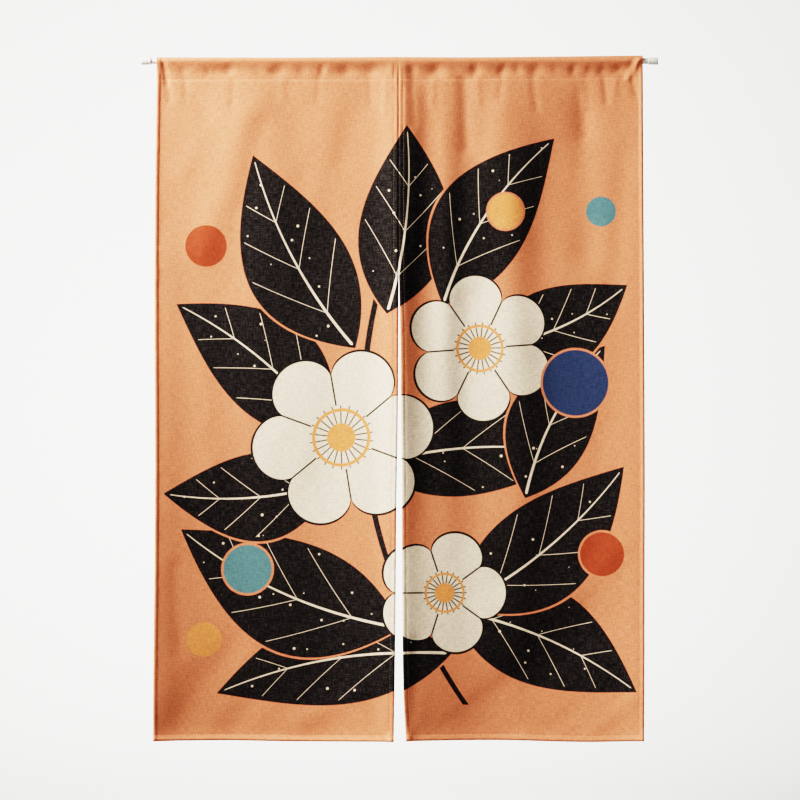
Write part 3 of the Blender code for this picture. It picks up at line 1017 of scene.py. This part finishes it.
def build_stitching(side, sheet, thread):
    """The visible thread of one panel: casing, side hems and bottom hem, front and back."""
    outward = face_normals(sheet, side)
    hanging = sheet.stitched_row + 1
    backward = sheet.points - outward * sheet.thickness[..., None]
    runs = []
    lines = [
        (slice(3, hanging), SIDE_STITCHING),
        (slice(3, hanging), -1 - SIDE_STITCHING),
        (BOTTOM_STITCHING, slice(3, -3)),
    ]
    for seed, line in enumerate(lines):
        places = sheet.print_place[line]
        runs.append(along_line(sheet.points[line], outward[line], places, seed))
        places = places + (BARE_CLOTH_ACROSS, 0)
        runs.append(along_line(backward[line] - 0.05 * outward[line], -outward[line], places, seed + 10))
    casing = (sheet.stitched_row, slice(2, -2))
    runs.append(along_line(sheet.points[casing], outward[casing], sheet.print_place[casing], 20))
    behind = (-3, slice(2, -2))
    runs.append(along_line(sheet.points[behind], outward[behind], sheet.print_place[behind], 30))
    piece = link(side + "_stitching", stitch_mesh(side + "_stitching", runs), thread)
    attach(piece, "root")


def build_seam_stitching(sheets, thread):
    """The ladder of thread that joins the two panels, across the back of their seam."""
    levels = np.arange(SEAM_STITCHES_FROM, SEAM_END_BELOW, SEAM_STITCH_PITCH)
    ends = []
    for side, drop in (("left", 0.0), ("right", SEAM_STITCH_PITCH / 2)):
        sheet = sheets[side]
        depth = sheet.thickness[..., None] + SEAM_STITCH_STAND
        behind = sheet.points - face_normals(sheet, side) * depth
        line = behind[: sheet.stitched_row, SEAM_STITCH_COLUMN]
        height = -(levels + drop)
        ends.append(np.stack([np.interp(height, line[:, 2], column) for column in line.T], axis=-1))
    outward = np.tile([0.0, 1.0, 0.0], (len(levels), 1))
    places = np.stack([0 * levels, -levels], axis=-1)
    piece = link("seam_stitching", stitch_mesh("seam_stitching", [(*ends, outward, places)]), thread)
    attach(piece, "root")


def turned(name, profile, facets, finish):
    """A closed shape turned round the rod's axis from radius and height pairs, in millimetres."""
    mesh = bpy.data.meshes.new(name)
    points = [(radius * MM, 0, height * MM) for radius, height in profile]
    mesh.from_pydata(points, [(i, i + 1) for i in range(len(points) - 1)], [])
    piece = link(name, mesh, finish)
    spun = piece.modifiers.new("turned round", "SCREW")
    spun.steps = facets
    spun.render_steps = facets
    spun.use_merge_vertices = True
    spun.merge_threshold = 0.01 * MM
    evaluated = piece.evaluated_get(bpy.context.evaluated_depsgraph_get())
    round_mesh = bpy.data.meshes.new_from_object(evaluated)
    piece.modifiers.remove(spun)
    piece.data = round_mesh
    solid = bmesh.new()
    solid.from_mesh(round_mesh)
    bmesh.ops.recalc_face_normals(solid, faces=solid.faces)
    solid.to_mesh(round_mesh)
    solid.free()
    round_mesh.shade_smooth()
    round_mesh.set_sharp_from_angle(angle=math.radians(40))
    return piece


def build_rod(finish):
    """The rod: a drawn tube with rolled ends, running through both casings."""
    half = ROD_LENGTH / 2 - CAP_LENGTH + CAP_SOCKET_DEPTH - CAP_CLEARANCE
    rolled = ROD_RADIUS - ROD_END_ROLL, half - ROD_END_ROLL
    roll = [(rolled[0] + ROD_END_ROLL * math.sin(a), rolled[1] + ROD_END_ROLL * math.cos(a))
            for a in (math.radians(15 * i) for i in range(7))]
    side = [(ROD_RADIUS, rolled[1] - 2 * rolled[1] * i / 12) for i in range(1, 12)]
    profile = [(0, half), *roll, *side, *[(r, -h) for r, h in reversed(roll)], (0, -half)]
    rod = turned("enamelled_rod", profile, 48, finish)
    rod.rotation_euler.y = math.pi / 2
    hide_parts("rod")
    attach(rod, "root")


def build_cap(side, facing, finish):
    """A soft cap: a rounded cup with a shallow groove near its mouth."""
    inset = CAP_RADIUS - CAP_ROUNDING, CAP_LENGTH - CAP_ROUNDING
    rim = [(inset[0] + CAP_ROUNDING * math.sin(a), inset[1] + CAP_ROUNDING * math.cos(a))
           for a in (math.radians(11.25 * i) for i in range(9))]
    groove_radii = (CAP_RADIUS, CAP_RADIUS - CAP_GROOVE_DEPTH, CAP_RADIUS - CAP_GROOVE_DEPTH, CAP_RADIUS)
    socket = ROD_RADIUS + CAP_CLEARANCE
    mouth = [*zip(groove_radii, CAP_GROOVE), (CAP_RADIUS, CAP_LIP), (CAP_RADIUS - CAP_LIP, 0)]
    hollow = [(socket, 0), (socket, CAP_SOCKET_DEPTH), (0, CAP_SOCKET_DEPTH)]
    cap = turned(side + "_rubber_cap", [(0, CAP_LENGTH), *rim, *mouth, *hollow], 48, finish)
    cap.location.x = facing * (ROD_LENGTH / 2 - CAP_LENGTH) * MM
    cap.rotation_euler.y = facing * math.pi / 2
    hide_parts(side + "_cap")
    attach(cap, "root")


# The studio: a round pale floor that sweeps up into a far wall
FLOOR_HEIGHT = -1.95
FLOOR_RADIUS = 7.0
SWEEP_RADIUS = 3.0
WALL_HEIGHT = 4.5


def build_studio():
    profile = [(0.0, FLOOR_HEIGHT), (FLOOR_RADIUS, FLOOR_HEIGHT)]
    for i in range(1, 13):
        turn = math.pi / 2 * i / 12
        profile.append((
            FLOOR_RADIUS + SWEEP_RADIUS * math.sin(turn),
            FLOOR_HEIGHT + SWEEP_RADIUS * (1 - math.cos(turn)),
        ))
    profile.append((FLOOR_RADIUS + SWEEP_RADIUS, WALL_HEIGHT))
    mesh = bpy.data.meshes.new("studio_floor")
    mesh.from_pydata([(r, 0, h) for r, h in profile], [(i, i + 1) for i in range(len(profile) - 1)], [])
    floor = link("studio_floor", mesh, studio_paper())
    spun = floor.modifiers.new("swept round", "SCREW")
    spun.steps = 96
    spun.render_steps = 96
    spun.use_merge_vertices = True
    spun.merge_threshold = 0.0001
    spun.use_smooth_shade = True


# The lights: a key from the upper left, one on the curtain's back, and four on the floor and the wall
Softbox = namedtuple("Softbox", "name place aim width height spread watts colour")
SOFTBOXES = [
    Softbox("key_softbox", (-2.24, -0.68, 0.80), (0.0, 0.0, -0.55), 0.9, 0.9, 100, 97.0, "#FFF7EC"),
    Softbox("backdrop_light", (0.0, 2.6, 0.4), (-0.7, 9.5, -0.6), 2.0, 2.0, 84, 560.0, "#FFFFFF"),
    Softbox("front_right_floor_light", (1.2, -1.6, 1.6), (4.6, -4.6, -2.0), 1.2, 1.2, 84, 110.0, "#FFFFFF"),
    Softbox("back_left_floor_light", (-1.0, 1.8, 1.6), (-3.4, 3.4, -2.0), 1.2, 1.2, 84, 90.0, "#FFFFFF"),
    Softbox("left_wall_light", (-2.4, 0.8, 1.6), (-8.2, 0.8, -1.5), 1.2, 1.2, 96, 150.0, "#FFFFFF"),
    Softbox("reverse_softbox", (1.7, 2.4, 0.5), (0.0, 0.0, -0.6), 1.4, 1.4, 100, 40.0, "#FFFDFA"),
]
AMBIENT = ("#FFFAF4", 0.02)


def build_lights():
    for box in SOFTBOXES:
        light = bpy.data.lights.new(box.name, "AREA")
        light.shape = "RECTANGLE"
        light.size = box.width
        light.size_y = box.height
        light.spread = math.radians(box.spread)
        light.energy = box.watts
        light.color = linear(box.colour)[:3]
        lamp = bpy.data.objects.new(box.name, light)
        lamp.location = box.place
        lamp.rotation_euler = (Vector(box.aim) - Vector(box.place)).to_track_quat("-Z", "Y").to_euler()
        lamp.visible_camera = False
        bpy.context.scene.collection.objects.link(lamp)
    world = bpy.data.worlds.new("studio air")
    world.use_nodes = True
    air = world.node_tree.nodes["Background"]
    air.inputs["Color"].default_value = linear(AMBIENT[0])
    air.inputs["Strength"].default_value = AMBIENT[1]
    bpy.context.scene.world = world


# The photograph: square on to the curtain, from far enough away that its edges stay parallel
PHOTO_WIDTH_PX = 800
MM_PER_PX = 1.74
ROD_PX = (399.6, 61.0)
CAMERA_DISTANCE = 7.0
SENSOR_WIDTH = 36.0


def build_camera():
    frame_width = PHOTO_WIDTH_PX * MM_PER_PX * MM
    middle = PHOTO_WIDTH_PX / 2
    lens = bpy.data.cameras.new("photo_camera")
    lens.sensor_width = SENSOR_WIDTH
    lens.lens = SENSOR_WIDTH * CAMERA_DISTANCE / frame_width
    camera = bpy.data.objects.new("photo_camera", lens)
    across = (middle - ROD_PX[0]) * MM_PER_PX * MM
    below = (middle - ROD_PX[1]) * MM_PER_PX * MM
    camera.location = (across, -CAMERA_DISTANCE, -below)
    camera.rotation_euler = (math.pi / 2, 0, 0)
    bpy.context.scene.collection.objects.link(camera)
    bpy.context.scene.camera = camera


printed_cloth = cotton_linen("printed cotton-linen, face", reverse=False)
printed_cloth_reverse = cotton_linen("printed cotton-linen, reverse", reverse=True)
thread = sewing_cotton_with_painted_highlight()
build_rod(enamelled_steel())
rubber = moulded_rubber()
build_cap("left", -1, rubber)
build_cap("right", 1, rubber)
sheets = {}
for side in ("left", "right"):
    sheets[side] = build_panel(side, printed_cloth, printed_cloth_reverse)
    build_stitching(side, sheets[side], thread)
build_seam_stitching(sheets, thread)
build_studio()
build_lights()
build_camera()
bpy.context.scene.view_settings.view_transform = "Filmic"
bpy.context.scene.view_settings.look = "Very High Contrast"
